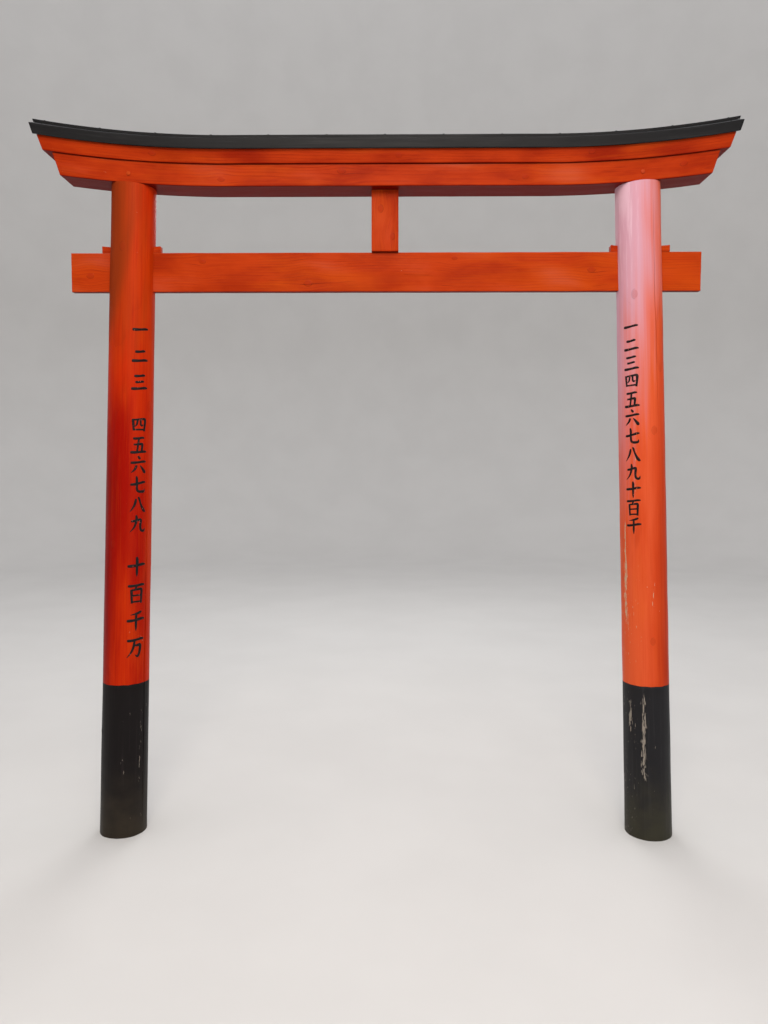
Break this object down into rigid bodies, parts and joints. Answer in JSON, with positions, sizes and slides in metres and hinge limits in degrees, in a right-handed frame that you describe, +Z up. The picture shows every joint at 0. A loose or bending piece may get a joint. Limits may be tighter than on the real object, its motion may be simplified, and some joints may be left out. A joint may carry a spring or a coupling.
{
  "type": "timber torii gate",
  "caption": "Painted timber torii gate: two leaning round posts, a wedged tie beam, a centre strut and a stack of lintels under a boarded top that curves up at its ends.",
  "frame": {"origin": "centre of the left post's foot, on the ground", "axes": "+X along the beams from the left post to the right post, +Y through the gate from front to back, +Z up"},
  "size_m": [2.7206, 0.186, 2.826],
  "materials": {
    "vermilion_cedar": "semi-gloss vermilion paint on cedar; the posts' lowest 0.62 m is painted matt black",
    "black_cedar": "matt black paint on cedar"
  },
  "bodies": {
    "root": {"left_post": "vermilion_cedar", "right_post": "vermilion_cedar", "tie_beam": "vermilion_cedar", "left_inner_wedge": "vermilion_cedar", "left_outer_wedge": "vermilion_cedar", "right_inner_wedge": "vermilion_cedar", "right_outer_wedge": "vermilion_cedar", "centre_strut": "vermilion_cedar", "lower_lintel": "vermilion_cedar", "left_tenon_peg": "vermilion_cedar", "right_tenon_peg": "vermilion_cedar", "top_lintel": "vermilion_cedar", "front_roof_board": "black_cedar", "back_roof_board": "black_cedar", "ridge_cap": "black_cedar"}
  },
  "joints": []
}
